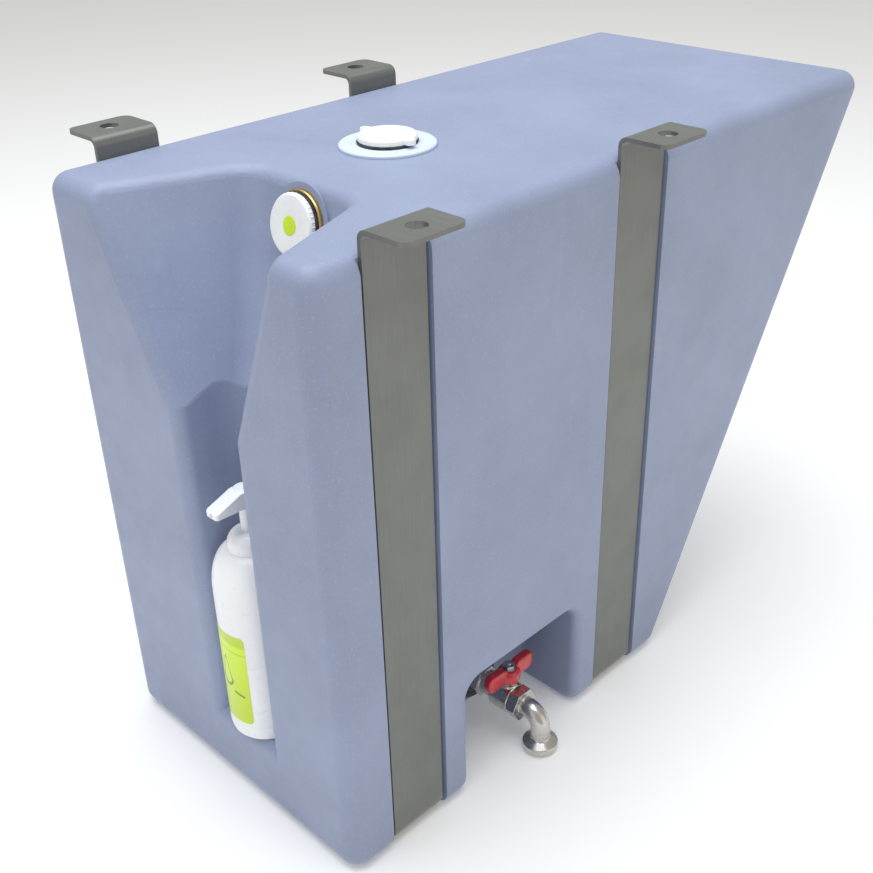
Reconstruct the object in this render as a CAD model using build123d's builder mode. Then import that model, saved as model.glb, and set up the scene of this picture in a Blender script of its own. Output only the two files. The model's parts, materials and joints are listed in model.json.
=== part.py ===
"""Hanging hand-wash water tank with a soap niche, two hanger straps and a ball-valve tap.

The origin is the centre of the hanger bolt pattern, on the top faces of the hanger flanges.
+X runs along the tank from the soap niche to the slanted end, -Y is the tap side, +Z is up.
Lengths are in millimetres.  Heights are given above the tank's underside and X places are
given from the tank's upright end face, and both are moved to the origin by the two datums.
"""

from build123d import *
import math
import os

os.makedirs("parts", exist_ok=True)

# ---------------------------------------------------------------- driving dimensions
# tank
tank_length = 616.0          # along the top
base_length = 364.0          # along the underside
tank_width = 280.0
tank_height = 470.0
edge_radius = 14.0
wall = 5.0

# hanger straps: flat bar bent into a U with an outward flange on each leg
strap_width = 50.0
strap_thickness = 3.0
front_strap_x = 66.0         # centre line of the strap nearer the niche
rear_strap_x = 301.0
channel_depth = 5.0
channel_clearance = 3.0      # each side of a strap
channel_corner = 9.0
flange_rise = 14.0           # flange top above the tank's top
flange_length = 36.0
flange_corner = 7.0
flange_bend = 4.0            # inside radius of the flange's bend
bolt_hole_radius = 6.75
bolt_edge = 17.0             # hole centre to the flange's outer end

# soap niche: a funnel-shaped scoop that narrows into a pocket with straight sides
pocket_y = -17.5
pocket_half = 31.5
pocket_centre_x = 28.0
ledge_height = 65.0
scoop_drop = 118.0           # pocket's top below the tank's top
funnel_y = -10.0
niche_edge = 10.0
crease_radius = 4.0
#   above the tank's top, half width at the end face and at the back, depth, corner, centre
funnel_sections = (
    (20.0, 104.0, 58.0, 106.0, 27.0, funnel_y),
    (-60.0, 70.0, 41.0, 91.0, 24.0, (2 * funnel_y + pocket_y) / 3),
    (-scoop_drop - 27.0, pocket_half - 1.5, 20.0, 50.0, 14.0, pocket_y),
)

# tap notch in the lower edge of the tap side
notch_start = 120.0
notch_end = 248.0
notch_height = 106.0
notch_depth = 68.0
notch_corner = 14.0
notch_edge = 8.0

# filler necks and their screw caps
neck_bore = 32.0
neck_outer = 38.0
neck_reach = 15.0            # neck below its flange
cap_clearance = 0.3
cap_diameter = 43.0
cap_head = 4.5
cap_plug = 12.0
cap_plug_wall = 3.0
gasket_thickness = 1.8
gasket_overlap = 0.6         # gasket stands out past the cap's head
lug_reach = 27.0
lug_width = 8.0
top_neck_x = 194.0
top_neck_y = 4.0
top_ring_diameter = 70.0
top_ring_thickness = 2.5
front_neck_drop = 29.0       # where its axis meets the wall, below the tank's top
front_neck_y = -13.0
front_neck_tilt = 12.0       # degrees, the scoop's back wall leans back
front_ring_diameter = 47.0
front_ring_thickness = 3.0
pad_diameter = 56.0
pad_rise = 2.0
cap_bevel = 1.2
gasket_clearance = 0.1       # gasket's bore round the cap's plug
mark_diameter = 13.0
mark_thickness = 0.8
mark_recess = 0.5

# outlet fitting through the notch's back wall
outlet_x = 193.0
outlet_height = 33.5
bulkhead_outer = 26.0
bulkhead_bore = 19.6
bulkhead_flange = 44.0
bulkhead_flange_thickness = 5.0
bulkhead_inside = 20.0       # fitting past the tank wall's inner face
washer_thickness = 2.0
locknut_across = 36.0
locknut_thickness = 8.0

# ball valve, measured from its stem axis and from the axis of its bore
stem_out = 42.5              # stem axis to the notch's back wall
nipple_length = 17.0
nipple_hex = 24.0
nipple_hex_length = 11.0
body_neck_radius = 10.0
barrel_radius = 13.0
barrel_bevel = 0.8
barrel_back = 11.5
barrel_front = 8.0
nose_radius = 9.5            # threaded nose that the spout screws onto
nose_length = 5.0
chamber_radius = 7.25
chamber_back = 7.9
ball_radius = 7.0
ball_bore = 8.0
seat_start = 4.4             # seats' inner faces, from the stem axis
seat_clearance = 0.05
stem_radius = 3.5
stem_clearance = 0.05
stem_tongue = 3.0
tongue_depth = 2.2
tongue_clearance = 0.1
tower_radius = 7.0
tower_top = 14.0
packing_start = 10.6
packing_height = 2.2
packing_radius = 5.0
gland_across = 13.0
gland_height = 3.0
hub_gap = 0.5
hub_radius = 9.5
hub_height = 11.5
wing_tip = 27.0
wing_thickness = 4.6
wing_height = 14.0
wing_rise = 1.5
wing_corner = 5.0
square_drive = 4.6
handle_nut_across = 9.0
handle_nut_height = 4.0
stem_thread = 2.2
stem_end = 1.0               # stem past its nut

# spout
spout_hex = 25.0
spout_hex_length = 9.0
spout_outer = 16.0
spout_bore = 11.0
spout_straight = 4.0
spout_bend = 13.0
spout_drop = 31.0            # outlet below the valve's bore
flare_radius = 14.5
flare_height = 9.0
spout_gasket_thickness = 0.8

# soap bottle and its pump
bottle_radius = 30.0
bottle_x = 24.5
bottle_body = 128.0          # straight side
shoulder_height = 32.0
collar_base_radius = 16.0
collar_height = 14.0
collar_top_radius = 7.5
bottle_wall = 1.5
bottle_foot = 5.0
bottle_neck_radius = 10.0
bottle_neck = 6.0
label_start = 16.0
label_height = 82.0
label_half_angle = 31.0
label_thickness = 0.3
collar_clearance = 0.3
pump_gasket_thickness = 1.2
pump_flange_radius = 9.8
pump_flange_thickness = 1.5
pump_tube_radius = 7.0
pump_tube_wall = 1.4
pump_tube_length = 52.0
pump_tube_floor = 2.0
pump_stem_radius = 4.5
pump_stem_bore = 1.8
pump_stem_clearance = 0.1
head_gap = 20.0              # pump head above the collar, at rest
head_height = 15.0
head_radius = 6.5
head_socket = 6.0            # stem's length inside the head
nozzle_reach = 28.0
nozzle_tip = 4.0
nozzle_droop = 9.0
nozzle_rise = 1.0            # nozzle's root below the head's top and above its bottom
nozzle_corner = 2.5
nozzle_bore = 1.2
head_bevel = 0.6
piston_height = 6.0
piston_gap = 0.4             # piston below the pump's flange at rest
piston_clearance = 0.1
spring_wire = 0.5            # radius
spring_radius = 3.9
spring_turns = 7
dip_radius = 3.0
dip_bore = 2.0
dip_grip = 6.0
dip_clearance = 4.0          # dip tube's end above the bottle's floor
check_ball_radius = 2.4
check_seat_radius = 1.4

# ---------------------------------------------------------------- datums
end_x = -(front_strap_x + rear_strap_x) / 2
base_z = -(flange_rise + tank_height)
top_z = base_z + tank_height
bolt_y = tank_width / 2 - channel_depth + strap_thickness + flange_length - bolt_edge
leg_y = tank_width / 2 - channel_depth + strap_thickness     # outer face of a strap's leg
notch_y = -(tank_width / 2 - notch_depth)                    # notch's back wall
ledge_z = base_z + ledge_height
outlet_z = base_z + outlet_height
outlet_axis = Plane(origin=(end_x + outlet_x, notch_y, outlet_z), x_dir=(1, 0, 0), z_dir=(0, -1, 0))
stem_axis = Plane(
    origin=(end_x + outlet_x, notch_y - stem_out, outlet_z),
    x_dir=(1, 0, 0),
    z_dir=(0, 0, 1),
)
bottle_axis = Plane(
    origin=(end_x + bottle_x, pocket_y, ledge_z),
    x_dir=(1, 0, 0),
    z_dir=(0, 0, 1),
)


def finish(piece, label):
    """Names a finished piece and writes its file."""
    piece.part.label = label
    export_step(piece.part, f"parts/{label}.step")
    print(f"{label:22s} {piece.part.volume:12.1f}  solids {len(piece.part.solids())}")


def turned(axis, outline):
    """The solid made by turning an outline of (radius, height) corners about a plane's normal."""
    side = Plane(origin=axis.origin, x_dir=axis.x_dir, z_dir=-axis.y_dir)
    with BuildPart() as body:
        with BuildSketch(side):
            with BuildLine():
                Polyline(*outline, close=True)
            make_face()
        revolve(axis=Axis(axis.origin, axis.z_dir))
    return body.part


def hexagon(axis, across, height, bore):
    """A hexagonal nut or collar on a plane, with a round hole through it."""
    with BuildPart() as nut:
        with BuildSketch(axis):
            RegularPolygon(across / 2, 6, major_radius=False)
            Circle(bore, mode=Mode.SUBTRACT)
        extrude(amount=height)
    return nut.part


def touching(point, shape):
    """True where a point lies on one of a shape's faces."""
    return any(face.distance_to(point) < 0.01 for face in shape.faces())


def shared_edges(body, first, second):
    """Edges of body that lie on the faces of both shapes."""
    return [e for e in body.edges() if touching(e @ 0.5, first) and touching(e @ 0.5, second)]


# ---------------------------------------------------------------- tank
def tank_block(inset):
    """The tank's outer block, a wedge with rounded edges, drawn in by inset on every face."""
    with BuildPart() as block:
        with BuildSketch(Plane.XZ) as side:
            with BuildLine():
                Polyline(
                    (end_x, base_z),
                    (end_x + base_length, base_z),
                    (end_x + tank_length, top_z),
                    (end_x, top_z),
                    close=True,
                )
            make_face()
            if inset:
                offset(amount=-inset, kind=Kind.INTERSECTION)
        extrude(amount=tank_width / 2 - inset, both=True)
        fillet(block.edges(), edge_radius - inset)
    return block.part


def funnel_section(height, half_front, half_back, depth, corner, centre, grow):
    """One level outline of the scoop, carried out past the tank's end face."""
    overrun = -2 * niche_edge
    flare = (half_front - half_back) / depth
    with BuildSketch(Plane.XY.offset(top_z + height)) as outline:
        with BuildLine():
            Polyline(
                (end_x + overrun, centre + half_front - flare * overrun),
                (end_x + depth, centre + half_back),
                (end_x + depth, centre - half_back),
                (end_x + overrun, centre - half_front + flare * overrun),
                close=True,
            )
        make_face()
        fillet(outline.vertices().group_by(Axis.X)[-1], corner)
        if grow:
            offset(amount=grow, kind=Kind.INTERSECTION)
    return outline.sketch.face()


def scoop(grow):
    """The funnel-shaped upper part of the soap niche."""
    with BuildPart() as funnel:
        loft(sections=[funnel_section(*section, grow) for section in funnel_sections])
    return funnel.part


def pocket(grow):
    """The upright pocket that holds the bottle, open at the end face."""
    half = pocket_half + grow
    centre_x = end_x + pocket_centre_x
    front = end_x - 2 * niche_edge
    with BuildPart() as well:
        with BuildSketch(Plane.XY.offset(ledge_z - grow)):
            with BuildLine():
                Line((front, pocket_y - half), (centre_x, pocket_y - half))
                ThreePointArc(
                    (centre_x, pocket_y - half),
                    (centre_x + half, pocket_y),
                    (centre_x, pocket_y + half),
                )
                Line((centre_x, pocket_y + half), (front, pocket_y + half))
                Line((front, pocket_y + half), (front, pocket_y - half))
            make_face()
        extrude(amount=top_z - scoop_drop - ledge_z + grow)
    return well.part


def notch(grow):
    """The space cut out of the lower tap-side edge for the tap."""
    length = notch_end - notch_start + 2 * grow
    depth = notch_depth + grow
    middle = end_x + (notch_start + notch_end) / 2
    with BuildPart() as space:
        with BuildSketch(Plane.XY.offset(base_z - 20)):
            with Locations((middle, -tank_width / 2 - 10)):
                Rectangle(length, depth + 10, align=(Align.CENTER, Align.MIN))
        extrude(amount=notch_height + 20 + grow)
        upright = space.edges().filter_by(Axis.Z).group_by(Axis.Y)[-1]
        upper = space.edges().group_by(Axis.Z)[-1]
        inner = [e for e in upper if e.center().Y > -tank_width / 2]
        fillet([*upright, *inner], notch_corner + grow)
    return space.part


def channel(strap_x, grow):
    """The shallow channel that a strap lies in: down one side, under, and up the other."""
    reach = tank_width / 2 - channel_depth - grow
    floor = base_z + channel_depth + grow
    outside = tank_width / 2 + 20
    below = base_z - 20
    above = top_z + 20
    with BuildPart() as groove:
        with BuildSketch(Plane.YZ.offset(end_x + strap_x)):
            with BuildLine():
                FilletPolyline(
                    (reach, above),
                    (reach, floor),
                    (-reach, floor),
                    (-reach, above),
                    radius=channel_corner - grow / 2,
                )
                Polyline(
                    (-reach, above),
                    (-outside, above),
                    (-outside, below),
                    (outside, below),
                    (outside, above),
                    (reach, above),
                )
            make_face()
        extrude(amount=strap_width / 2 + channel_clearance + grow, both=True)
    return groove.part


def tank_form(inset):
    """The tank's whole form, drawn in by inset: 0 gives its outside and the wall its cavity."""
    block = tank_block(inset)
    niche = [scoop(inset), pocket(inset)]
    tap_space = notch(inset)
    with BuildPart() as form:
        add(block)
        for tool in (*niche, tap_space):
            add(tool, mode=Mode.SUBTRACT)
        if not inset:
            openings = [e for tool in niche for e in shared_edges(form, block, tool)]
            fillet(openings, niche_edge)
            fillet(shared_edges(form, niche[0], niche[1]), crease_radius)
            fillet(shared_edges(form, block, tap_space), notch_edge)
        for strap_x in (front_strap_x, rear_strap_x):
            add(channel(strap_x, inset), mode=Mode.SUBTRACT)
    return form.part


# where the front filler's axis leaves the scoop's back wall, and its direction
def back_wall_x(height):
    """Depth of the scoop's back wall at a height above the tank's top, through its sections."""
    levels = [section[0] for section in funnel_sections]
    depths = [section[3] for section in funnel_sections]
    total = 0.0
    for i, depth in enumerate(depths):
        others = [level for j, level in enumerate(levels) if j != i]
        weight = math.prod((height - level) / (levels[i] - level) for level in others)
        total += weight * depth
    return total


tilt = math.radians(front_neck_tilt)
front_axis = Plane(
    origin=(end_x + back_wall_x(-front_neck_drop), front_neck_y, top_z - front_neck_drop),
    x_dir=(0, -1, 0),
    z_dir=(-math.cos(tilt), 0, math.sin(tilt)),
)
top_axis = Plane(origin=(end_x + top_neck_x, top_neck_y, top_z), x_dir=(1, 0, 0), z_dir=(0, 0, 1))
front_seat = front_axis.offset(pad_rise)

outer_form = tank_form(0)
cavity = tank_form(wall)
with BuildPart() as tank_shell:
    add(outer_form)
    with BuildSketch(front_axis.offset(-wall)):
        Circle(pad_diameter / 2)
    extrude(amount=wall + pad_rise)
    add(cavity, mode=Mode.SUBTRACT)
    for axis, depth in ((top_axis, 3 * wall), (front_axis, 3 * wall)):
        with BuildSketch(axis.offset(-depth)):
            Circle(neck_outer / 2)
        extrude(amount=depth + pad_rise, mode=Mode.SUBTRACT)
    with BuildSketch(outlet_axis.offset(-2 * wall)):
        Circle(bulkhead_outer / 2)
    extrude(amount=3 * wall, mode=Mode.SUBTRACT)
finish(tank_shell, "tank_shell")


# ---------------------------------------------------------------- hanger straps
def hanger_strap(strap_x):
    """One U-shaped strap with its two outward flanges, bent from flat bar."""
    inner = leg_y - strap_thickness
    seat = base_z + channel_depth
    flange_end = leg_y + flange_length
    bend = flange_bend + strap_thickness
    corners = [(-flange_end, 0), (-inner, 0), (-inner, seat), (inner, seat), (inner, 0), (flange_end, 0)]
    with BuildPart() as strap:
        with BuildSketch(Plane.YZ.offset(end_x + strap_x)):
            with BuildLine():
                FilletPolyline(*corners, radius=(bend, channel_corner, channel_corner, bend))
                offset(amount=strap_thickness, side=Side.RIGHT)
            make_face()
        extrude(amount=strap_width / 2, both=True)
        ends = strap.edges().filter_by(Axis.Z)
        fillet([e for e in ends if abs(e.center().Y) > flange_end - 1], flange_corner)
        with Locations((end_x + strap_x, bolt_y, 0), (end_x + strap_x, -bolt_y, 0)):
            Hole(bolt_hole_radius)
    return strap


front_strap = hanger_strap(front_strap_x)
finish(front_strap, "front_strap")
rear_strap = hanger_strap(rear_strap_x)
finish(rear_strap, "rear_strap")


# ---------------------------------------------------------------- filler necks and caps
def neck_outline(diameter, thickness):
    """Outline of a flanged neck that lines a filler hole, from its flange's underside."""
    bevel = thickness / 3
    return [
        (neck_bore / 2, -neck_reach),
        (neck_outer / 2, -neck_reach),
        (neck_outer / 2, 0),
        (diameter / 2, 0),
        (diameter / 2, thickness - bevel),
        (diameter / 2 - bevel, thickness),
        (neck_bore / 2, thickness),
    ]


plug_radius = neck_bore / 2 - cap_clearance
cap_top = gasket_thickness + cap_head
cap_outline = [
    (0, gasket_thickness),
    (plug_radius - cap_plug_wall, gasket_thickness),
    (plug_radius - cap_plug_wall, -cap_plug),
    (plug_radius, -cap_plug),
    (plug_radius, gasket_thickness),
    (cap_diameter / 2, gasket_thickness),
    (cap_diameter / 2, cap_top - cap_bevel),
    (cap_diameter / 2 - cap_bevel, cap_top),
    (0, cap_top),
]
cap_gasket_outline = [
    (plug_radius + gasket_clearance, 0),
    (cap_diameter / 2 + gasket_overlap, 0),
    (cap_diameter / 2 + gasket_overlap, gasket_thickness),
    (plug_radius + gasket_clearance, gasket_thickness),
]
top_lid = top_axis.offset(top_ring_thickness)
front_lid = front_seat.offset(front_ring_thickness)

with BuildPart() as top_neck_ring:
    add(turned(top_axis, neck_outline(top_ring_diameter, top_ring_thickness)))
finish(top_neck_ring, "top_neck_ring")

with BuildPart() as front_neck_ring:
    add(turned(front_seat, neck_outline(front_ring_diameter, front_ring_thickness)))
finish(front_neck_ring, "front_neck_ring")

with BuildPart() as top_cap_gasket:
    add(turned(top_lid, cap_gasket_outline))
finish(top_cap_gasket, "top_cap_gasket")

with BuildPart() as front_cap_gasket:
    add(turned(front_lid, cap_gasket_outline))
finish(front_cap_gasket, "front_cap_gasket")

with BuildPart() as top_cap:
    add(turned(top_lid, cap_outline))
    with BuildSketch(top_lid.offset(gasket_thickness)):
        SlotOverall(2 * lug_reach, lug_width, rotation=90)
    extrude(amount=cap_head)
finish(top_cap, "top_cap")

with BuildPart() as front_cap:
    add(turned(front_lid, cap_outline))
    with BuildSketch(front_lid.offset(cap_top)):
        Circle(mark_diameter / 2)
    extrude(amount=-mark_recess, mode=Mode.SUBTRACT)
finish(front_cap, "front_cap")

with BuildPart() as front_cap_mark:
    with BuildSketch(front_lid.offset(cap_top - mark_recess)):
        Circle(mark_diameter / 2)
    extrude(amount=mark_thickness)
finish(front_cap_mark, "front_cap_mark")

# ---------------------------------------------------------------- outlet fitting
flange_face = washer_thickness + bulkhead_flange_thickness
with BuildPart() as outlet_bulkhead:
    add(turned(outlet_axis, [
        (bulkhead_bore / 2, -wall - bulkhead_inside),
        (bulkhead_outer / 2, -wall - bulkhead_inside),
        (bulkhead_outer / 2, washer_thickness),
        (bulkhead_flange / 2, washer_thickness),
        (bulkhead_flange / 2, flange_face - barrel_bevel),
        (bulkhead_flange / 2 - barrel_bevel, flange_face),
        (bulkhead_bore / 2, flange_face),
    ]))
finish(outlet_bulkhead, "outlet_bulkhead")

with BuildPart() as outlet_washer:
    with BuildSketch(outlet_axis):
        Circle(bulkhead_flange / 2)
        Circle(bulkhead_outer / 2, mode=Mode.SUBTRACT)
    extrude(amount=washer_thickness)
finish(outlet_washer, "outlet_washer")

with BuildPart() as outlet_locknut:
    locknut_seat = outlet_axis.offset(-wall - locknut_thickness)
    add(hexagon(locknut_seat, locknut_across, locknut_thickness, bulkhead_outer / 2))
finish(outlet_locknut, "outlet_locknut")

# ---------------------------------------------------------------- ball valve
bore = ball_bore / 2
hex_end = flange_face + nipple_hex_length
stem_hole = stem_radius + stem_clearance
with BuildPart() as valve_body:
    add(turned(outlet_axis, [
        (bore, flange_face - nipple_length),
        (bulkhead_bore / 2, flange_face - nipple_length),
        (bulkhead_bore / 2, flange_face),
        (body_neck_radius, flange_face),
        (body_neck_radius, stem_out - barrel_back),
        (barrel_radius - barrel_bevel, stem_out - barrel_back),
        (barrel_radius, stem_out - barrel_back + barrel_bevel),
        (barrel_radius, stem_out + barrel_front - barrel_bevel),
        (barrel_radius - barrel_bevel, stem_out + barrel_front),
        (nose_radius, stem_out + barrel_front),
        (nose_radius, stem_out + barrel_front + nose_length),
        (bore, stem_out + barrel_front + nose_length),
    ]))
    add(hexagon(outlet_axis.offset(flange_face), nipple_hex, nipple_hex_length, body_neck_radius))
    with BuildSketch(stem_axis):
        Circle(tower_radius)
    extrude(amount=tower_top)
    with BuildSketch(outlet_axis.offset(stem_out - chamber_back)):
        Circle(chamber_radius)
    extrude(amount=chamber_back + barrel_front + nose_length, mode=Mode.SUBTRACT)
    with BuildSketch(stem_axis):
        Circle(stem_hole)
    extrude(amount=tower_top, mode=Mode.SUBTRACT)
    with BuildSketch(stem_axis.offset(packing_start)):
        Circle(packing_radius)
    extrude(amount=tower_top - packing_start, mode=Mode.SUBTRACT)
finish(valve_body, "valve_body")

with BuildPart() as valve_ball:
    with Locations(stem_axis):
        Sphere(ball_radius)
        Cylinder(bore, 3 * ball_radius, rotation=(0, 90, 0), mode=Mode.SUBTRACT)
    with Locations(stem_axis.offset(ball_radius - tongue_depth)):
        Box(
            stem_tongue + 2 * tongue_clearance,
            3 * ball_radius,
            ball_radius,
            align=(Align.CENTER, Align.CENTER, Align.MIN),
            mode=Mode.SUBTRACT,
        )
finish(valve_ball, "valve_ball")


def valve_seat(start, length):
    """A ring seat round the bore, hollowed to the ball; start is measured along the outlet."""
    with BuildPart() as seat:
        with BuildSketch(outlet_axis.offset(start)):
            Circle(chamber_radius)
            Circle(bore, mode=Mode.SUBTRACT)
        extrude(amount=length)
        with Locations(stem_axis):
            Sphere(ball_radius + seat_clearance, mode=Mode.SUBTRACT)
    return seat


valve_seat_back = valve_seat(stem_out - chamber_back, chamber_back - seat_start)
finish(valve_seat_back, "valve_seat_back")
valve_seat_front = valve_seat(stem_out + seat_start, barrel_front + nose_length - seat_start)
finish(valve_seat_front, "valve_seat_front")

hub_base = tower_top + gland_height + hub_gap
hub_top = hub_base + hub_height
with BuildPart() as valve_stem:
    with BuildSketch(stem_axis.offset(ball_radius + tongue_clearance)):
        Circle(stem_radius)
    extrude(amount=hub_base - ball_radius - tongue_clearance)
    with BuildSketch(stem_axis.offset(ball_radius - tongue_depth + tongue_clearance)):
        Circle(stem_radius)
        Rectangle(stem_tongue, 2 * stem_radius, mode=Mode.INTERSECT)
    extrude(amount=tongue_depth)
    with BuildSketch(stem_axis.offset(hub_base)):
        Rectangle(square_drive, square_drive)
    extrude(amount=hub_height)
    with BuildSketch(stem_axis.offset(hub_top)):
        Circle(stem_thread)
    extrude(amount=handle_nut_height + stem_end)
finish(valve_stem, "valve_stem")

with BuildPart() as stem_packing:
    with BuildSketch(stem_axis.offset(packing_start)):
        Circle(packing_radius)
        Circle(stem_hole, mode=Mode.SUBTRACT)
    extrude(amount=packing_height)
finish(stem_packing, "stem_packing")

with BuildPart() as gland_nut:
    with BuildSketch(stem_axis.offset(packing_start + packing_height)):
        Circle(packing_radius)
        Circle(stem_hole, mode=Mode.SUBTRACT)
    extrude(amount=tower_top - packing_start - packing_height)
    add(hexagon(stem_axis.offset(tower_top), gland_across, gland_height, stem_hole))
finish(gland_nut, "gland_nut")

with BuildPart() as valve_handle:
    with BuildSketch(stem_axis.offset(hub_base)):
        Circle(hub_radius)
    extrude(amount=hub_height)
    chamfer(valve_handle.faces().sort_by(Axis.Z)[-1].edges(), barrel_bevel)
    with BuildSketch(Plane.XZ.offset(notch_y * -1 + stem_out)) as wing_outline:
        with Locations((end_x + outlet_x, outlet_z + hub_base + wing_rise)):
            Rectangle(2 * wing_tip, wing_height, align=(Align.CENTER, Align.MIN))
        fillet(wing_outline.vertices(), wing_corner)
        with Locations((end_x + outlet_x, outlet_z + hub_top)):
            Rectangle(2 * hub_radius, hub_height, align=(Align.CENTER, Align.MIN), mode=Mode.SUBTRACT)
    extrude(amount=wing_thickness / 2, both=True)
    with BuildSketch(stem_axis.offset(hub_base)):
        Rectangle(square_drive, square_drive)
    extrude(amount=hub_height, mode=Mode.SUBTRACT)
finish(valve_handle, "valve_handle")

with BuildPart() as handle_nut:
    add(hexagon(stem_axis.offset(hub_top), handle_nut_across, handle_nut_height, stem_thread))
finish(handle_nut, "handle_nut")

# ---------------------------------------------------------------- spout
socket_start = stem_out + barrel_front + spout_gasket_thickness
socket_end = socket_start + nose_length
hex_face = socket_start + spout_hex_length
bend_start = hex_face + spout_straight
with BuildPart() as spout:
    add(hexagon(outlet_axis.offset(socket_start), spout_hex, spout_hex_length, spout_bore / 2))
    outlet_side = Plane(origin=outlet_axis.origin, x_dir=(0, -1, 0), z_dir=(-1, 0, 0))
    with BuildLine(outlet_side) as route:
        Line((hex_face, 0), (bend_start, 0))
        JernArc((bend_start, 0), (1, 0), spout_bend, -90)
        Line((bend_start + spout_bend, -spout_bend), (bend_start + spout_bend, -spout_drop))
    with BuildSketch(outlet_axis.offset(hex_face)):
        Circle(spout_outer / 2)
    sweep(path=route.wires()[0])
    outlet_end = Plane(
        origin=(end_x + outlet_x, notch_y - bend_start - spout_bend, outlet_z - spout_drop),
        x_dir=(1, 0, 0),
        z_dir=(0, 0, 1),
    )
    add(turned(outlet_end, [
        (0, 0),
        (flare_radius, 0),
        (flare_radius, flare_height / 2),
        (spout_outer / 2, flare_height),
        (0, flare_height),
    ]))
    with BuildSketch(outlet_axis.offset(hex_face)):
        Circle(spout_bore / 2)
    sweep(path=route.wires()[0], mode=Mode.SUBTRACT)
    with BuildSketch(outlet_axis.offset(socket_start)):
        Circle(nose_radius)
    extrude(amount=nose_length, mode=Mode.SUBTRACT)
finish(spout, "spout")

with BuildPart() as spout_gasket:
    with BuildSketch(outlet_axis.offset(socket_end - spout_gasket_thickness)):
        Circle(nose_radius)
        Circle(spout_bore / 2, mode=Mode.SUBTRACT)
    extrude(amount=spout_gasket_thickness)
finish(spout_gasket, "spout_gasket")

# ---------------------------------------------------------------- soap bottle
shelf = bottle_body + shoulder_height


def bottle_section(inset, foot):
    """Half section of the bottle on its axis, drawn in by inset and without its neck."""
    radius = bottle_radius - inset
    shelf_radius = collar_base_radius - inset
    bulge = math.sqrt(0.5)
    side = Plane(origin=bottle_axis.origin, x_dir=(1, 0, 0), z_dir=(0, -1, 0))
    with BuildSketch(side) as section:
        with BuildLine():
            Polyline((0, shelf - inset), (0, inset), (radius, inset), (radius, bottle_body))
            ThreePointArc(
                (radius, bottle_body),
                (
                    shelf_radius + (radius - shelf_radius) * bulge,
                    bottle_body + (shoulder_height - inset) * bulge,
                ),
                (shelf_radius, shelf - inset),
            )
            Line((shelf_radius, shelf - inset), (0, shelf - inset))
        make_face()
        foot_corner = section.vertices().group_by(Axis.Y)[0].sort_by(Axis.X)[-1]
        fillet(foot_corner, foot)
    return section.sketch


with BuildPart() as soap_bottle:
    add(bottle_section(0, bottle_foot))
    revolve(axis=Axis(bottle_axis.origin, bottle_axis.z_dir))
    with BuildSketch(bottle_axis.offset(shelf)):
        Circle(bottle_neck_radius)
    extrude(amount=bottle_neck)
    add(bottle_section(bottle_wall, bottle_foot - bottle_wall))
    revolve(axis=Axis(bottle_axis.origin, bottle_axis.z_dir), mode=Mode.SUBTRACT)
    with BuildSketch(bottle_axis.offset(shelf + bottle_neck)):
        Circle(bottle_neck_radius - bottle_wall)
    extrude(amount=-bottle_neck - 2 * bottle_wall, mode=Mode.SUBTRACT)
finish(soap_bottle, "soap_bottle")

with BuildPart() as bottle_label:
    with BuildSketch(bottle_axis.offset(label_start)):
        Circle(bottle_radius + label_thickness)
        Circle(bottle_radius, mode=Mode.SUBTRACT)
        with BuildLine():
            reach = 2 * bottle_radius
            spread = reach * math.tan(math.radians(label_half_angle))
            Polyline((0, 0), (-reach, spread), (-reach, -spread), close=True)
        make_face(mode=Mode.INTERSECT)
    extrude(amount=label_height)
finish(bottle_label, "bottle_label")

# ---------------------------------------------------------------- soap pump, from the bottle's shelf
pump_seat = bottle_neck + pump_gasket_thickness
flange_top = pump_seat + pump_flange_thickness
socket = bottle_neck_radius + collar_clearance
stem_bore = pump_stem_radius + pump_stem_clearance
pump_axis = bottle_axis.offset(shelf)
half_section = Plane(origin=pump_axis.origin, x_dir=(1, 0, 0), z_dir=(0, -1, 0))
with BuildPart() as pump_collar:
    with BuildSketch(half_section):
        with BuildLine():
            collar_bulge = (
                collar_top_radius + (collar_base_radius - collar_top_radius) * math.sqrt(0.5),
                collar_height * math.sqrt(0.5),
            )
            ThreePointArc((collar_base_radius, 0), collar_bulge, (collar_top_radius, collar_height))
            Polyline(
                (collar_top_radius, collar_height),
                (stem_bore, collar_height),
                (stem_bore, flange_top),
                (socket, flange_top),
                (socket, 0),
                (collar_base_radius, 0),
            )
        make_face()
    revolve(axis=Axis(pump_axis.origin, pump_axis.z_dir))
finish(pump_collar, "pump_collar")

with BuildPart() as pump_gasket:
    with BuildSketch(pump_axis.offset(bottle_neck)):
        Circle(bottle_neck_radius)
        Circle(pump_tube_radius, mode=Mode.SUBTRACT)
    extrude(amount=pump_gasket_thickness)
finish(pump_gasket, "pump_gasket")

tube_bore = pump_tube_radius - pump_tube_wall
tube_end = pump_seat - pump_tube_length
tube_floor = tube_end + pump_tube_floor
with BuildPart() as pump_body:
    add(turned(pump_axis, [
        (check_seat_radius, tube_end - dip_grip),
        (dip_bore, tube_end - dip_grip),
        (dip_bore, tube_end),
        (pump_tube_radius, tube_end),
        (pump_tube_radius, pump_seat),
        (pump_flange_radius, pump_seat),
        (pump_flange_radius, flange_top),
        (stem_bore, flange_top),
        (stem_bore, pump_seat),
        (tube_bore, pump_seat),
        (tube_bore, tube_floor),
        (check_seat_radius, tube_floor),
    ]))
finish(pump_body, "pump_body")

head_base = collar_height + head_gap
head_top = head_base + head_height
piston_top = pump_seat - piston_gap
with BuildPart() as pump_stem:
    with BuildSketch(pump_axis.offset(piston_top)):
        Circle(pump_stem_radius)
        Circle(pump_stem_bore, mode=Mode.SUBTRACT)
    extrude(amount=head_base + head_socket - piston_top)
finish(pump_stem, "pump_stem")

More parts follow.
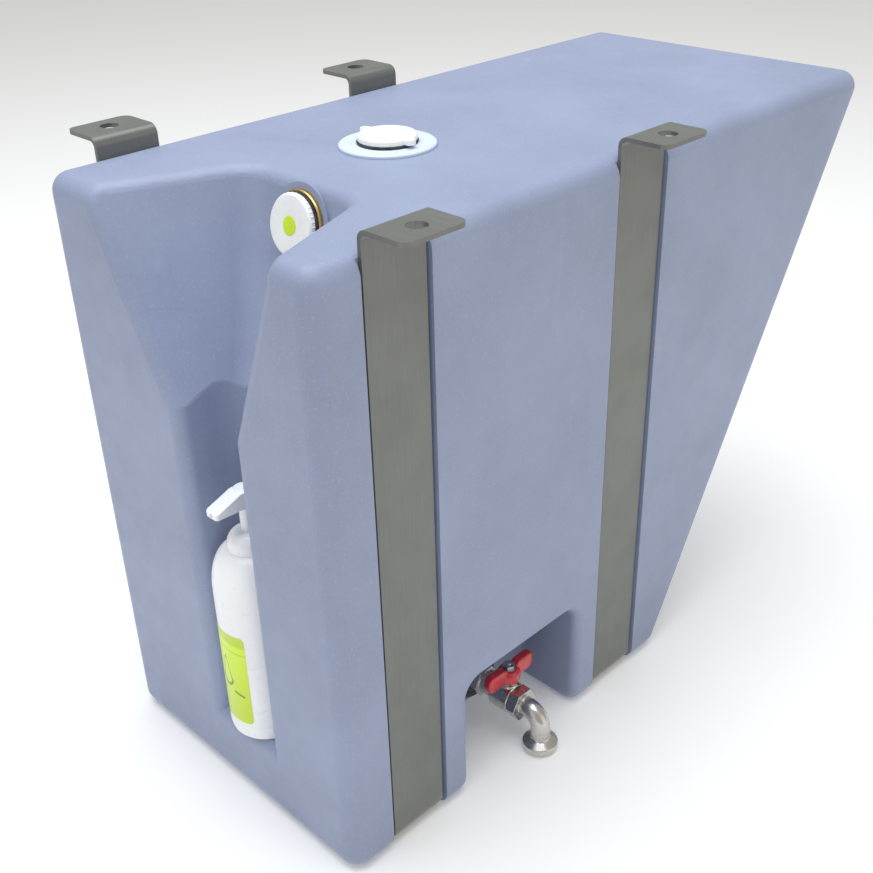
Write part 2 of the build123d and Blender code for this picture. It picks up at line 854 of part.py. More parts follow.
with BuildPart() as pump_piston:
    with BuildSketch(pump_axis.offset(piston_top)):
        Circle(tube_bore - piston_clearance)
        Circle(pump_stem_bore, mode=Mode.SUBTRACT)
    extrude(amount=-piston_height)
finish(pump_piston, "pump_piston")

with BuildPart() as pump_head:
    with BuildSketch(pump_axis.offset(head_base)):
        Circle(head_radius)
    extrude(amount=head_height)
    with BuildSketch(Plane(origin=pump_axis.origin, x_dir=(-1, 0, 0), z_dir=(0, 1, 0))):
        with BuildLine():
            Polyline(
                (0, head_top - nozzle_rise),
                (head_radius, head_top - nozzle_rise),
                (nozzle_reach, head_top - nozzle_droop),
                (nozzle_reach, head_top - nozzle_droop - nozzle_tip),
                (head_radius, head_base + nozzle_rise),
                (0, head_base + nozzle_rise),
                close=True,
            )
        make_face()
    extrude(amount=head_radius, both=True)
    tips = pump_head.edges().filter_by(Axis.Z).group_by(Axis.X)[0]
    fillet(tips, nozzle_corner)
    chamfer(pump_head.faces().sort_by(Axis.Z)[-1].edges(), head_bevel)
    with BuildSketch(pump_axis.offset(head_base)):
        Circle(pump_stem_radius)
    extrude(amount=head_socket, mode=Mode.SUBTRACT)
    with BuildSketch(pump_axis.offset(head_base)):
        Circle(pump_stem_bore)
    extrude(amount=head_height - nozzle_droop - nozzle_tip / 2 + nozzle_bore, mode=Mode.SUBTRACT)
    nozzle_height = pump_axis.origin.Z + head_top - nozzle_droop - nozzle_tip / 2
    with BuildSketch(Plane.YZ.offset(pump_axis.origin.X - nozzle_reach)):
        with Locations((pocket_y, nozzle_height)):
            Circle(nozzle_bore)
    extrude(amount=nozzle_reach, mode=Mode.SUBTRACT)
finish(pump_head, "pump_head")

with BuildPart() as pump_spring:
    spring_base = tube_floor + 2 * check_ball_radius
    spring_length = piston_top - piston_height - spring_base - 2 * spring_wire
    with BuildLine(pump_axis.offset(spring_base + spring_wire)) as coil:
        Helix(spring_length / spring_turns, spring_length, spring_radius)
    wire_plane = Plane(origin=coil.line @ 0, x_dir=(1, 0, 0), z_dir=coil.line % 0)
    with BuildSketch(wire_plane):
        Circle(spring_wire)
    sweep(path=coil.line, is_frenet=True)
finish(pump_spring, "pump_spring")

with BuildPart() as dip_tube:
    with BuildSketch(pump_axis.offset(tube_end)):
        Circle(dip_radius)
        Circle(dip_bore, mode=Mode.SUBTRACT)
    extrude(amount=bottle_wall + dip_clearance - shelf - tube_end)
finish(dip_tube, "dip_tube")

with BuildPart() as check_ball:
    rest = tube_floor + math.sqrt(check_ball_radius ** 2 - check_seat_radius ** 2)
    with Locations(pump_axis.offset(rest)):
        Sphere(check_ball_radius)
finish(check_ball, "check_ball")
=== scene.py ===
"""Looks for the hanging hand-wash water tank, laid out as an add-on and run as a script."""

import json
import math

import bmesh
import bpy
from bpy.props import FloatProperty, FloatVectorProperty, IntProperty, PointerProperty
from mathutils import Matrix, Vector


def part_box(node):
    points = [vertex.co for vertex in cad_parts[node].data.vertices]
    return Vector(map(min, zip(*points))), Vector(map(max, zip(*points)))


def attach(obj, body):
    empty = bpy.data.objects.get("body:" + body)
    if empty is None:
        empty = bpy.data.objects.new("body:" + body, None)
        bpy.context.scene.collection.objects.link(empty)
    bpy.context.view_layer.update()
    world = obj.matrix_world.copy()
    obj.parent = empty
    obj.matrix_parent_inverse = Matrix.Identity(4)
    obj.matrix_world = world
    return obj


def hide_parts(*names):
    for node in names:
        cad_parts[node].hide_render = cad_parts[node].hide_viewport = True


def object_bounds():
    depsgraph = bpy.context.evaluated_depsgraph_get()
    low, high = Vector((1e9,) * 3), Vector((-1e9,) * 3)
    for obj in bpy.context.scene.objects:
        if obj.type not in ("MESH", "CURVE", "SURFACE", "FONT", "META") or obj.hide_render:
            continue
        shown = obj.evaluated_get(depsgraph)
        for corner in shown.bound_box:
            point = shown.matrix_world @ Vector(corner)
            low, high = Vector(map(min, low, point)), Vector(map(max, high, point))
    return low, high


bl_info = {
    "name": "Hand-wash Water Tank",
    "version": (1, 0, 0),
    "blender": (4, 5, 0),
    "location": "3D View > Sidebar > Water Tank",
    "description": "Builds the caps, tap, soap bottle, finishes and studio of a hanging water tank",
    "category": "Object",
}

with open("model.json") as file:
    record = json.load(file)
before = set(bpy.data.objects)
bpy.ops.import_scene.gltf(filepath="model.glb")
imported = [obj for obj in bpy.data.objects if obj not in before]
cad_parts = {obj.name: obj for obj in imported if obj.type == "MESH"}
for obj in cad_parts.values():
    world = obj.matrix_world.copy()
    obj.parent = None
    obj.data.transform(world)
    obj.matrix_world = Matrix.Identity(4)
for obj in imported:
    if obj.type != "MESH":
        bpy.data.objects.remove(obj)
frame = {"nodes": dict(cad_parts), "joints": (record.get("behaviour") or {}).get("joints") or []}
CAD_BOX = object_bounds()
NODES = frame["nodes"]
JOINTS = {joint["name"]: joint for joint in frame["joints"]}
MM = 0.001
AIM = Vector((0.0465, 0.0, -0.254))     # the camera looks a little below this point
AIM_DROP = 0.00921
FLOOR_GAP = 0.0005                      # floor below the lowest CAD point


# ---------------------------------------------------------------- node helpers
def new_material(name):
    """A material with its shader and object coordinates ready."""
    material = bpy.data.materials.new(name)
    material.use_nodes = True
    tree = material.node_tree
    coords = tree.nodes.new("ShaderNodeTexCoord").outputs["Object"]
    return material, tree, tree.nodes["Principled BSDF"], coords


def noise(tree, coords, scale, stretch=(1, 1, 1), detail=3.0, roughness=0.55):
    """Noise on the given coordinates; stretch scales each axis of the pattern."""
    mapping = tree.nodes.new("ShaderNodeMapping")
    mapping.inputs["Scale"].default_value = stretch
    texture = tree.nodes.new("ShaderNodeTexNoise")
    texture.inputs["Scale"].default_value = scale
    texture.inputs["Detail"].default_value = detail
    texture.inputs["Roughness"].default_value = roughness
    tree.links.new(coords, mapping.inputs["Vector"])
    tree.links.new(mapping.outputs["Vector"], texture.inputs["Vector"])
    return texture.outputs["Fac"]


def remap(tree, value, low, high, to_low=0.0, to_high=1.0):
    """A value moved from one range to another, and held inside it."""
    node = tree.nodes.new("ShaderNodeMapRange")
    for socket, number in zip(node.inputs[1:5], (low, high, to_low, to_high)):
        socket.default_value = number
    tree.links.new(value, node.inputs["Value"])
    return node.outputs["Result"]


def maths(tree, operation, first, second):
    """One arithmetic step; either input may be a socket or a number."""
    node = tree.nodes.new("ShaderNodeMath")
    node.operation = operation
    for socket, value in zip(node.inputs, (first, second)):
        if isinstance(value, (int, float)):
            socket.default_value = value
        else:
            tree.links.new(value, socket)
    return node.outputs["Value"]


def tinted(tree, factor, first, second):
    """Two colours, each a colour or a socket, mixed by factor."""
    node = tree.nodes.new("ShaderNodeMix")
    node.data_type = "RGBA"
    tree.links.new(factor, node.inputs["Factor"])
    for socket, value in ((node.inputs[6], first), (node.inputs[7], second)):
        if isinstance(value, bpy.types.NodeSocket):
            tree.links.new(value, socket)
        else:
            socket.default_value = (*value[:3], 1.0)
    return node.outputs[2]


def axis_part(tree, coords, axis):
    """One component of a vector socket."""
    node = tree.nodes.new("ShaderNodeSeparateXYZ")
    tree.links.new(coords, node.inputs["Vector"])
    return node.outputs[axis]


def raise_surface(tree, shader, height, distance, strength=1.0):
    """Adds a bump layer under whatever bump the shader already has."""
    node = tree.nodes.new("ShaderNodeBump")
    node.inputs["Strength"].default_value = strength
    node.inputs["Distance"].default_value = distance
    tree.links.new(height, node.inputs["Height"])
    normal = shader.inputs["Normal"]
    if normal.links:
        tree.links.new(normal.links[0].from_socket, node.inputs["Normal"])
    tree.links.new(node.outputs["Normal"], normal)


def within(tree, value, centre, reach):
    """1 where a value is nearer to centre than reach, else 0."""
    offset = maths(tree, "ABSOLUTE", maths(tree, "SUBTRACT", value, centre), 0)
    return maths(tree, "LESS_THAN", offset, reach)


def shade(color, factor):
    """A colour made lighter or darker."""
    return tuple(min(1.0, part * factor) for part in color[:3])


# ---------------------------------------------------------------- materials
def moulded_tank(color):
    """Rotationally moulded polyethylene: powdery skin, faint clouds, scuffs, and a colour darker in patches
    towards the bottom.
    """
    material, tree, shader, coords = new_material("moulded_tank")
    clouds = noise(tree, coords, 9.0, detail=4.0)
    base = tinted(tree, remap(tree, clouds, 0.35, 0.68), shade(color, 0.93), shade(color, 1.06))
    specks = remap(tree, noise(tree, coords, 620.0, detail=1.0), 0.62, 0.72)
    base = tinted(tree, maths(tree, "MULTIPLY", specks, 0.35), base, shade(color, 1.35))
    scuffs = remap(tree, noise(tree, coords, 30.0, (1.0, 1.0, 0.12), 6.0, 0.7), 0.63, 0.76)
    base = tinted(tree, maths(tree, "MULTIPLY", scuffs, 0.28), base, shade(color, 1.3))
    # colour darker in patches over the lowest 9 cm of the tank
    low = remap(tree, axis_part(tree, coords, "Z"), CAD_BOX[0][2], CAD_BOX[0][2] + 0.09, 1.0, 0.0)
    low_dark_patches = maths(tree, "MULTIPLY", low, remap(tree, noise(tree, coords, 26.0, detail=5.0), 0.3, 0.75))
    base = tinted(tree, maths(tree, "MULTIPLY", low_dark_patches, 0.35), base, shade(color, 0.62))
    tree.links.new(base, shader.inputs["Base Color"])
    gloss = remap(tree, noise(tree, coords, 55.0, detail=4.0), 0.3, 0.7, 0.36, 0.52)
    tree.links.new(gloss, shader.inputs["Roughness"])
    shader.inputs["Specular IOR Level"].default_value = 0.42
    raise_surface(tree, shader, noise(tree, coords, 340.0, detail=2.0), 0.00016)
    raise_surface(tree, shader, noise(tree, coords, 12.0, detail=2.0), 0.0014, 0.6)
    return material


def brushed_bar(name, color, roughness=0.34):
    """Stainless flat bar, ground along its length, with water marks and light scratches."""
    material, tree, shader, coords = new_material(name)
    grain = noise(tree, coords, 1.0, (1700.0, 22.0, 22.0), 4.0, 0.65)
    marks = remap(tree, noise(tree, coords, 34.0, detail=5.0), 0.4, 0.7)
    base = tinted(tree, remap(tree, grain, 0.3, 0.7), shade(color, 0.86), shade(color, 1.12))
    base = tinted(tree, maths(tree, "MULTIPLY", marks, 0.25), base, shade(color, 0.72))
    tree.links.new(base, shader.inputs["Base Color"])
    rough = maths(tree, "ADD", remap(tree, grain, 0.3, 0.7, roughness - 0.06, roughness + 0.08),
                  maths(tree, "MULTIPLY", marks, 0.08))
    tree.links.new(rough, shader.inputs["Roughness"])
    shader.inputs["Metallic"].default_value = 0.4
    shader.inputs["Anisotropic"].default_value = 0.4
    raise_surface(tree, shader, grain, 0.00004, 0.7)
    nicks = remap(tree, noise(tree, coords, 90.0, (1.0, 0.2, 0.2), 4.0), 0.66, 0.72)
    raise_surface(tree, shader, nicks, 0.00005, -0.6)
    return material


def moulded_white(name, color, roughness=0.28, grain=0.00002):
    """Injection-moulded plastic: even colour, faint flow clouds and a fine skin."""
    material, tree, shader, coords = new_material(name)
    flow = noise(tree, coords, 45.0, (1.0, 1.0, 0.4), 4.0)
    base = tinted(tree, remap(tree, flow, 0.3, 0.7), shade(color, 0.955), shade(color, 1.02))
    dust = remap(tree, noise(tree, coords, 800.0, detail=1.0), 0.66, 0.74)
    base = tinted(tree, maths(tree, "MULTIPLY", dust, 0.14), base, shade(color, 0.82))
    tree.links.new(base, shader.inputs["Base Color"])
    rough = remap(tree, noise(tree, coords, 120.0, detail=4.0), 0.3, 0.7, roughness - 0.05,
                  roughness + 0.09)
    tree.links.new(rough, shader.inputs["Roughness"])
    shader.inputs["Coat Weight"].default_value = 0.12
    shader.inputs["Coat Roughness"].default_value = 0.2
    raise_surface(tree, shader, noise(tree, coords, 900.0, detail=2.0), grain)
    raise_surface(tree, shader, noise(tree, coords, 60.0, detail=1.0), 0.0001, 0.4)
    return material


def cast_metal(name, color, roughness=0.24, texture=0.00006, tarnish=0.45):
    """Plated or bare brass: cast skin, handling marks and darker tarnish in patches."""
    material, tree, shader, coords = new_material(name)
    patches = remap(tree, noise(tree, coords, 110.0, detail=6.0, roughness=0.65), 0.38, 0.72)
    tone = tinted(tree, maths(tree, "MULTIPLY", patches, tarnish), color, shade(color, 0.55))
    fine = noise(tree, coords, 1400.0, detail=2.0)
    base = tinted(tree, maths(tree, "MULTIPLY", remap(tree, fine, 0.35, 0.7), 0.3), tone,
                  shade(color, 1.2))
    tree.links.new(base, shader.inputs["Base Color"])
    rough = remap(tree, patches, 0.0, 1.0, roughness, roughness + 0.2)
    tree.links.new(rough, shader.inputs["Roughness"])
    shader.inputs["Metallic"].default_value = 1.0
    raise_surface(tree, shader, noise(tree, coords, 700.0, detail=3.0), texture)
    scratches = noise(tree, coords, 1.0, (900.0, 900.0, 60.0), 3.0)
    raise_surface(tree, shader, remap(tree, scratches, 0.6, 0.72), texture * 0.5, -0.5)
    return material


def seal_rubber(name, color):
    """Moulded rubber: dull, dusty, and slightly pitted."""
    material, tree, shader, coords = new_material(name)
    bloom = remap(tree, noise(tree, coords, 160.0, detail=5.0), 0.4, 0.75)
    base = tinted(tree, maths(tree, "MULTIPLY", bloom, 0.5), color, (0.11, 0.11, 0.115))
    tree.links.new(base, shader.inputs["Base Color"])
    tree.links.new(remap(tree, bloom, 0.0, 1.0, 0.5, 0.72), shader.inputs["Roughness"])
    shader.inputs["Specular IOR Level"].default_value = 0.35
    raise_surface(tree, shader, noise(tree, coords, 1100.0, detail=2.0), 0.00005)
    return material


def enamel(name, color):
    """Thick dipped enamel over cast metal, with an orange-peel skin and small chips."""
    material, tree, shader, coords = new_material(name)
    depth = remap(tree, noise(tree, coords, 90.0, detail=4.0), 0.3, 0.7)
    paint = tinted(tree, depth, shade(color, 0.8), shade(color, 1.12))
    chips = remap(tree, noise(tree, coords, 260.0, detail=6.0, roughness=0.7), 0.725, 0.735)
    tree.links.new(tinted(tree, chips, paint, (0.3, 0.27, 0.24)), shader.inputs["Base Color"])
    tree.links.new(remap(tree, chips, 0.0, 1.0, 0.24, 0.5), shader.inputs["Roughness"])
    shader.inputs["Coat Weight"].default_value = 0.5
    shader.inputs["Coat Roughness"].default_value = 0.12
    raise_surface(tree, shader, noise(tree, coords, 420.0, detail=2.0), 0.00012)
    raise_surface(tree, shader, chips, 0.00012, -0.8)
    return material


def printed_label(name, color):
    """Vinyl label on the bottle: a coloured ground with painted shade darker towards its foot, a darker band
    and line, a drop's outline and a bar.
    """
    material, tree, shader, _ = new_material(name)
    uv = tree.nodes.new("ShaderNodeUVMap")
    uv.uv_map = "label"
    across = axis_part(tree, uv.outputs["UV"], "X")
    up = axis_part(tree, uv.outputs["UV"], "Y")
    # painted shade: the ground is darker at the label's foot and lighter at its top
    ground_painted_shade = tinted(tree, remap(tree, up, 0.1, 0.9), shade(color, 0.86), shade(color, 1.05))
    sag = maths(tree, "SUBTRACT", up, maths(tree, "MULTIPLY", across, 0.05))
    band = maths(tree, "GREATER_THAN", sag, 0.88)
    line = within(tree, sag, 0.8, 0.008)
    side = maths(tree, "SUBTRACT", across, 0.62)
    rise = maths(tree, "SUBTRACT", up, 0.56)
    taper = remap(tree, rise, -0.1, 0.17, 1.0, 3.6)
    wide = maths(tree, "POWER", maths(tree, "MULTIPLY", side, maths(tree, "MULTIPLY", taper, 4.4)), 2.0)
    tall = maths(tree, "POWER", maths(tree, "MULTIPLY", rise, 6.2), 2.0)
    drop = within(tree, maths(tree, "ADD", wide, tall), 1.0, 0.2)
    slant = maths(tree, "SUBTRACT", up, maths(tree, "MULTIPLY", across, 0.12))
    bar = maths(tree, "MULTIPLY", within(tree, slant, 0.3, 0.012), within(tree, across, 0.28, 0.14))
    ink = tinted(tree, maths(tree, "MAXIMUM", band, line), ground_painted_shade, shade(color, 0.84))
    ink = tinted(tree, maths(tree, "MAXIMUM", drop, bar), ink, shade(color, 0.3))
    tree.links.new(ink, shader.inputs["Base Color"])
    shader.inputs["Roughness"].default_value = 0.33
    shader.inputs["Coat Weight"].default_value = 0.3
    shader.inputs["Coat Roughness"].default_value = 0.16
    raise_surface(tree, shader, noise(tree, uv.outputs["UV"], 60.0, detail=2.0), 0.00005)
    return material


# ---------------------------------------------------------------- mesh helpers
def rounded(outline, radius, steps=4):
    """Rounds the corners of a closed (radius, height) outline; radius is one size or one each."""
    count = len(outline)
    sizes = radius if isinstance(radius, (list, tuple)) else [radius] * count
    result = []
    for i, size in enumerate(sizes):
        corner = Vector(outline[i])
        before, after = Vector(outline[i - 1]) - corner, Vector(outline[(i + 1) % count]) - corner
        angle = before.angle(after)
        reach = min(size / math.tan(angle / 2), 0.49 * before.length, 0.49 * after.length) if size else 0
        if reach <= 0 or abs(angle - math.pi) < 0.02:
            result.append(tuple(corner))
            continue
        start, end = corner + before.normalized() * reach, corner + after.normalized() * reach
        for step in range(steps + 1):
            t = step / steps
            result.append(tuple(start * (1 - t) ** 2 + corner * 2 * t * (1 - t) + end * t * t))
    return result


def placed(origin, direction):
    """Places a piece built on its own Z axis at an origin, pointing along a direction."""
    turn = Vector((0, 0, 1)).rotation_difference(Vector(direction))
    return Matrix.Translation(Vector(origin)) @ turn.to_matrix().to_4x4()


def mesh_object(name, mesh, *materials):
    """A new object at the origin that shows a mesh."""
    for material in materials:
        mesh.materials.append(material)
    piece = bpy.data.objects.new(name, mesh)
    bpy.context.scene.collection.objects.link(piece)
    return piece


def skin(form, rings):
    """Adds a closed skin through rings of vertices, flat at both ends."""
    for first, second in zip(rings, rings[1:]):
        for i in range(len(first)):
            j = (i + 1) % len(first)
            form.faces.new((first[i], first[j], second[j], second[i]))
    form.faces.new(rings[0])
    form.faces.new(rings[-1])


def formed(name, form, material):
    """Turns a form's faces outwards and makes an object of it."""
    bmesh.ops.recalc_face_normals(form, faces=form.faces)
    mesh = bpy.data.meshes.new(name)
    form.to_mesh(mesh)
    form.free()
    return mesh_object(name, mesh, material)


def turned(name, place, outline, material, sides=128, shape=None):
    """A piece turned from a closed outline in millimetres; shape(angle, r, h) may change each point."""
    form = bmesh.new()
    rings = []
    for side in range(sides):
        angle = 2 * math.pi * side / sides
        ring = []
        for r, h in outline:
            if shape:
                r, h = shape(angle, r, h)
            point = Vector((r * math.cos(angle), r * math.sin(angle), h)) * MM
            ring.append(form.verts.new(place @ point))
        rings.append(ring)
    count = len(outline)
    for side, ring in enumerate(rings):
        following = rings[(side + 1) % sides]
        for i in range(count):
            j = (i + 1) % count
            form.faces.new((ring[i], following[i], following[j], ring[j]))
    bmesh.ops.remove_doubles(form, verts=form.verts, dist=1e-7)
    bmesh.ops.dissolve_degenerate(form, edges=form.edges, dist=1e-8)
    piece = formed(name, form, material)
    smooth(piece)
    return piece


def smooth(piece, degrees=32):
    """Smooth shading, with the sharper edges kept crisp."""
    mesh = piece.data
    mesh.polygons.foreach_set("use_smooth", [True] * len(mesh.polygons))
    mesh.set_sharp_from_angle(angle=math.radians(degrees))


def hexed(across, chamfer, low, high):
    """Shapes a turned outline's outermost points into a hexagon with chamfered corners."""
    flat = across / 2

    def shape(angle, r, h):
        if r < flat - 0.01:
            return r, h
        reach = flat / math.cos((angle + math.pi / 6) % (math.pi / 3) - math.pi / 6)
        drop = max(0.0, reach - flat - chamfer) * math.tan(math.radians(30))
        if h in (low, high):
            return min(reach, flat + chamfer), h
        return reach, h + drop if h < (low + high) / 2 else h - drop

    return shape


def nut(name, place, across, low, high, bore, material, chamfer=0.4):
    """A hexagonal nut or collar with its corners chamfered, in millimetres along its axis."""
    edge = 0.12
    outline = [
        (bore, low + 0.3), (bore + 0.3, low), (across / 2, low), (across / 2, low + edge),
        (across / 2, high - edge), (across / 2, high), (bore + 0.3, high), (bore, high - 0.3),
    ]
    return turned(name, place, outline, material, 144, hexed(across, chamfer, low, high))


def apply_modifiers(piece):
    """Turns a piece's modifiers into plain mesh."""
    graph = bpy.context.evaluated_depsgraph_get()
    mesh = bpy.data.meshes.new_from_object(piece.evaluated_get(graph))
    piece.modifiers.clear()
    piece.data = mesh
    return piece


def blended(piece, voxel, passes):
    """Rounds a piece's edges off, as casting or moulding leaves them; voxel is in millimetres."""
    remesh = piece.modifiers.new("Remesh", "REMESH")
    remesh.mode = "VOXEL"
    remesh.voxel_size = voxel * MM
    blend = piece.modifiers.new("Blend", "SMOOTH")
    blend.iterations = passes
    apply_modifiers(piece)
    piece.data.polygons.foreach_set("use_smooth", [True] * len(piece.data.polygons))
    return piece


def softened(name, node, material, voxel, passes=4):
    """A copy of a CAD node with its edges blended."""
    mesh = NODES[node].data.copy()
    form = bmesh.new()
    form.from_mesh(mesh)
    bmesh.ops.remove_doubles(form, verts=form.verts, dist=1e-6)
    form.to_mesh(mesh)
    form.free()
    mesh.materials.clear()
    return blended(mesh_object(name, mesh, material), voxel, passes)


def heights(node, origin):
    """The lowest and highest points of a CAD node, in millimetres above an origin."""
    low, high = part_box(node)
    return (low[2] - origin.z) / MM, (high[2] - origin.z) / MM


def joined(name, *pieces):
    """Several pieces made into one."""
    with bpy.context.temp_override(active_object=pieces[0], selected_editable_objects=list(pieces)):
        bpy.ops.object.join()
    pieces[0].name = name
    pieces[0].data.name = name
    return pieces[0]


def belongs(piece, body, slot_name, *nodes):
    """Rides a piece on its body and hides the CAD nodes it stands for; slot_name is not used."""
    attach(piece, body)
    if nodes:
        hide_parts(*nodes)


def repaint(node, material):
    """Gives a CAD node a finished material."""
    slots = NODES[node].material_slots
    for index in range(len(slots)):
        slots[index].material = material


# ---------------------------------------------------------------- geometry node trees
def repeat_tree(name, sockets):
    """An empty geometry node tree with named inputs; returns it, its input node and identifiers."""
    tree = bpy.data.node_groups.new(name, "GeometryNodeTree")
    tree.interface.new_socket("Geometry", in_out="INPUT", socket_type="NodeSocketGeometry")
    identifiers = {}
    for socket_name, kind in sockets:
        made = tree.interface.new_socket(socket_name, in_out="INPUT", socket_type=kind)
        identifiers[socket_name] = made.identifier
    tree.interface.new_socket("Geometry", in_out="OUTPUT", socket_type="NodeSocketGeometry")
    return tree, tree.nodes.new("NodeGroupInput"), identifiers


def end_tree(tree, inputs, geometry):
    """Realizes the instances, sets the material, moves the result into place and outputs it."""
    realize = tree.nodes.new("GeometryNodeRealizeInstances")
    move = tree.nodes.new("GeometryNodeTransform")
    paint = tree.nodes.new("GeometryNodeSetMaterial")
    out = tree.nodes.new("NodeGroupOutput")
    link = tree.links.new
    link(geometry, realize.inputs["Geometry"])
    link(realize.outputs["Geometry"], move.inputs["Geometry"])
    link(inputs.outputs["Place"], move.inputs["Translation"])
    link(inputs.outputs["Turn"], move.inputs["Rotation"])
    link(move.outputs["Geometry"], paint.inputs["Geometry"])
    link(inputs.outputs["Material"], paint.inputs["Material"])
    link(paint.outputs["Geometry"], out.inputs["Geometry"])


PLACING = [
    ("Place", "NodeSocketVector"),
    ("Turn", "NodeSocketRotation"),
    ("Material", "NodeSocketMaterial"),
]


def rib_ring_tree():
    """Upright ribs repeated round a circle."""
    sizes = [("Count", "NodeSocketInt"), ("Radius", "NodeSocketFloat"), ("Rib Width", "NodeSocketFloat"),
             ("Rib Length", "NodeSocketFloat")]
    tree, inputs, identifiers = repeat_tree("Rib Ring", sizes + PLACING)
    circle = tree.nodes.new("GeometryNodeMeshCircle")
    rib = tree.nodes.new("GeometryNodeMeshUVSphere")
    stretch = tree.nodes.new("ShaderNodeCombineXYZ")
    spread = tree.nodes.new("GeometryNodeInstanceOnPoints")
    rib.inputs["Segments"].default_value = 8
    rib.inputs["Rings"].default_value = 8
    rib.inputs["Radius"].default_value = 0.5
    link = tree.links.new
    link(inputs.outputs["Count"], circle.inputs["Vertices"])
    link(inputs.outputs["Radius"], circle.inputs["Radius"])
    link(inputs.outputs["Rib Width"], stretch.inputs["X"])
    link(inputs.outputs["Rib Width"], stretch.inputs["Y"])
    link(inputs.outputs["Rib Length"], stretch.inputs["Z"])
    link(circle.outputs["Mesh"], spread.inputs["Points"])
    link(rib.outputs["Mesh"], spread.inputs["Instance"])
    link(stretch.outputs["Vector"], spread.inputs["Scale"])
    end_tree(tree, inputs, spread.outputs["Instances"])
    return tree, identifiers


def thread_tree():
    """A screw thread: a ridge swept along a helix."""
    sizes = [("Turns", "NodeSocketFloat"), ("Radius", "NodeSocketFloat"), ("Length", "NodeSocketFloat"),
             ("Ridge", "NodeSocketFloat")]
    tree, inputs, identifiers = repeat_tree("Screw Thread", sizes + PLACING)
    helix = tree.nodes.new("GeometryNodeCurveSpiral")
    ridge = tree.nodes.new("GeometryNodeCurvePrimitiveCircle")
    sweep = tree.nodes.new("GeometryNodeCurveToMesh")
    helix.inputs["Resolution"].default_value = 48
    ridge.inputs["Resolution"].default_value = 6
    sweep.inputs["Fill Caps"].default_value = True
    link = tree.links.new
    link(inputs.outputs["Turns"], helix.inputs["Rotations"])
    link(inputs.outputs["Radius"], helix.inputs["Start Radius"])
    link(inputs.outputs["Radius"], helix.inputs["End Radius"])
    link(inputs.outputs["Length"], helix.inputs["Height"])
    link(inputs.outputs["Ridge"], ridge.inputs["Radius"])
    link(helix.outputs["Curve"], sweep.inputs["Curve"])
    link(ridge.outputs["Curve"], sweep.inputs["Profile Curve"])
    end_tree(tree, inputs, sweep.outputs["Mesh"])
    return tree, identifiers


TREES = {}


def repeated(kind, name, place, start, material, **sizes):
    """Grows a rib ring or a screw thread from its tree, in millimetres, start along the axis."""
    if kind not in TREES:
        TREES[kind] = {"ribs": rib_ring_tree, "thread": thread_tree}[kind]()
    tree, identifiers = TREES[kind]
    piece = mesh_object(name, bpy.data.meshes.new(name), material)
    grow = piece.modifiers.new("Repeat", "NODES")
    grow.node_group = tree
    origin = place @ Vector((0, 0, start * MM))
    values = {"Place": origin, "Turn": place.to_euler(), "Material": material}
    for size_name, value in sizes.items():
        values[size_name.replace("_", " ").title()] = value
    for value_name, value in values.items():
        grow[identifiers[value_name]] = value
    apply_modifiers(piece)
    smooth(piece, 50)
    return piece


# ---------------------------------------------------------------- settings
def color_setting(name, description, default):
    """A colour property."""
    return FloatVectorProperty(
        name=name, description=description, default=default, subtype="COLOR", size=3, min=0.0, max=1.0
    )


def length_setting(name, description, default):
    """A length property, stored in metres."""
    return FloatProperty(name=name, description=description, default=default, unit="LENGTH", min=0.0)


class TankLooks(bpy.types.PropertyGroup):
    """Colours of the tank and its hanger straps."""

    tank_color: color_setting("Tank", "Colour of the moulded tank", (0.286, 0.331, 0.473))
    strap_color: color_setting("Straps", "Colour of the strap steel", (0.185, 0.19, 0.175))


class CapLooks(bpy.types.PropertyGroup):
    """Sizes and colours of the two screw caps."""

    cap_color: color_setting("Caps", "Colour of the screw caps", (0.93, 0.94, 0.93))
    ring_color: color_setting("Top Ring", "Colour of the neck ring in the top", (0.66, 0.74, 0.88))
    brass_color: color_setting("Brass", "Colour of the neck ring in the niche", (0.62, 0.44, 0.17))
    mark_color: color_setting("Mark", "Colour of the inlaid mark", (0.66, 0.86, 0.03))
    grip_ribs: IntProperty(name="Grip Ribs", description="Ribs round each cap's rim", default=40, min=8)
    rib_width: length_setting("Rib Width", "Width of one grip rib", 0.0013)
    thread_ridge: length_setting("Thread Ridge", "Height of the cap's thread", 0.0009)


class TapLooks(bpy.types.PropertyGroup):
    """Sizes and colours of the tap."""

    metal_color: color_setting("Plating", "Colour of the plated valve and spout", (0.6, 0.585, 0.55))
    handle_color: color_setting("Handle", "Colour of the enamelled handle", (0.62, 0.025, 0.04))
    fitting_color: color_setting("Fitting", "Colour of the bulkhead fitting", (0.05, 0.055, 0.06))
    cast_step: length_setting("Cast Step", "Fineness of the cast pieces' surface", 0.00045)


class SoapLooks(bpy.types.PropertyGroup):
    """Sizes and colours of the soap bottle."""

    bottle_color: color_setting("Bottle", "Colour of the bottle and pump", (0.93, 0.94, 0.96))
    label_color: color_setting("Label", "Colour of the bottle's label", (0.66, 0.88, 0.03))
    label_corner: length_setting("Label Corner", "Radius of the label's corners", 0.004)


class StudioLooks(bpy.types.PropertyGroup):
    """Floor, light and camera."""

    floor_color: color_setting("Floor", "Colour of the floor", (0.95, 0.95, 0.95))
    azimuth: FloatProperty(name="Azimuth", description="Camera's turn round the tank in degrees",
                           default=-44.339)
    elevation: FloatProperty(name="Elevation", description="Camera's height in degrees", default=29.924)
    roll: FloatProperty(name="Roll", description="Camera's roll in degrees", default=-1.607)
    distance: length_setting("Distance", "Camera's distance from its aim", 0.96865)
    lens: FloatProperty(name="Lens", description="Camera's focal length in millimetres", default=48.58)
    ambient: FloatProperty(name="Ambient", description="Strength of the light from all round", default=0.47)
    overhead: FloatProperty(name="Overhead", description="Power of the light above in watts", default=53.0)
    niche_side: FloatProperty(name="Niche Side", description="Power of the niche's light in watts",
                              default=2.5)
    tap_side: FloatProperty(name="Tap Side", description="Power of the tap's light in watts", default=6.0)


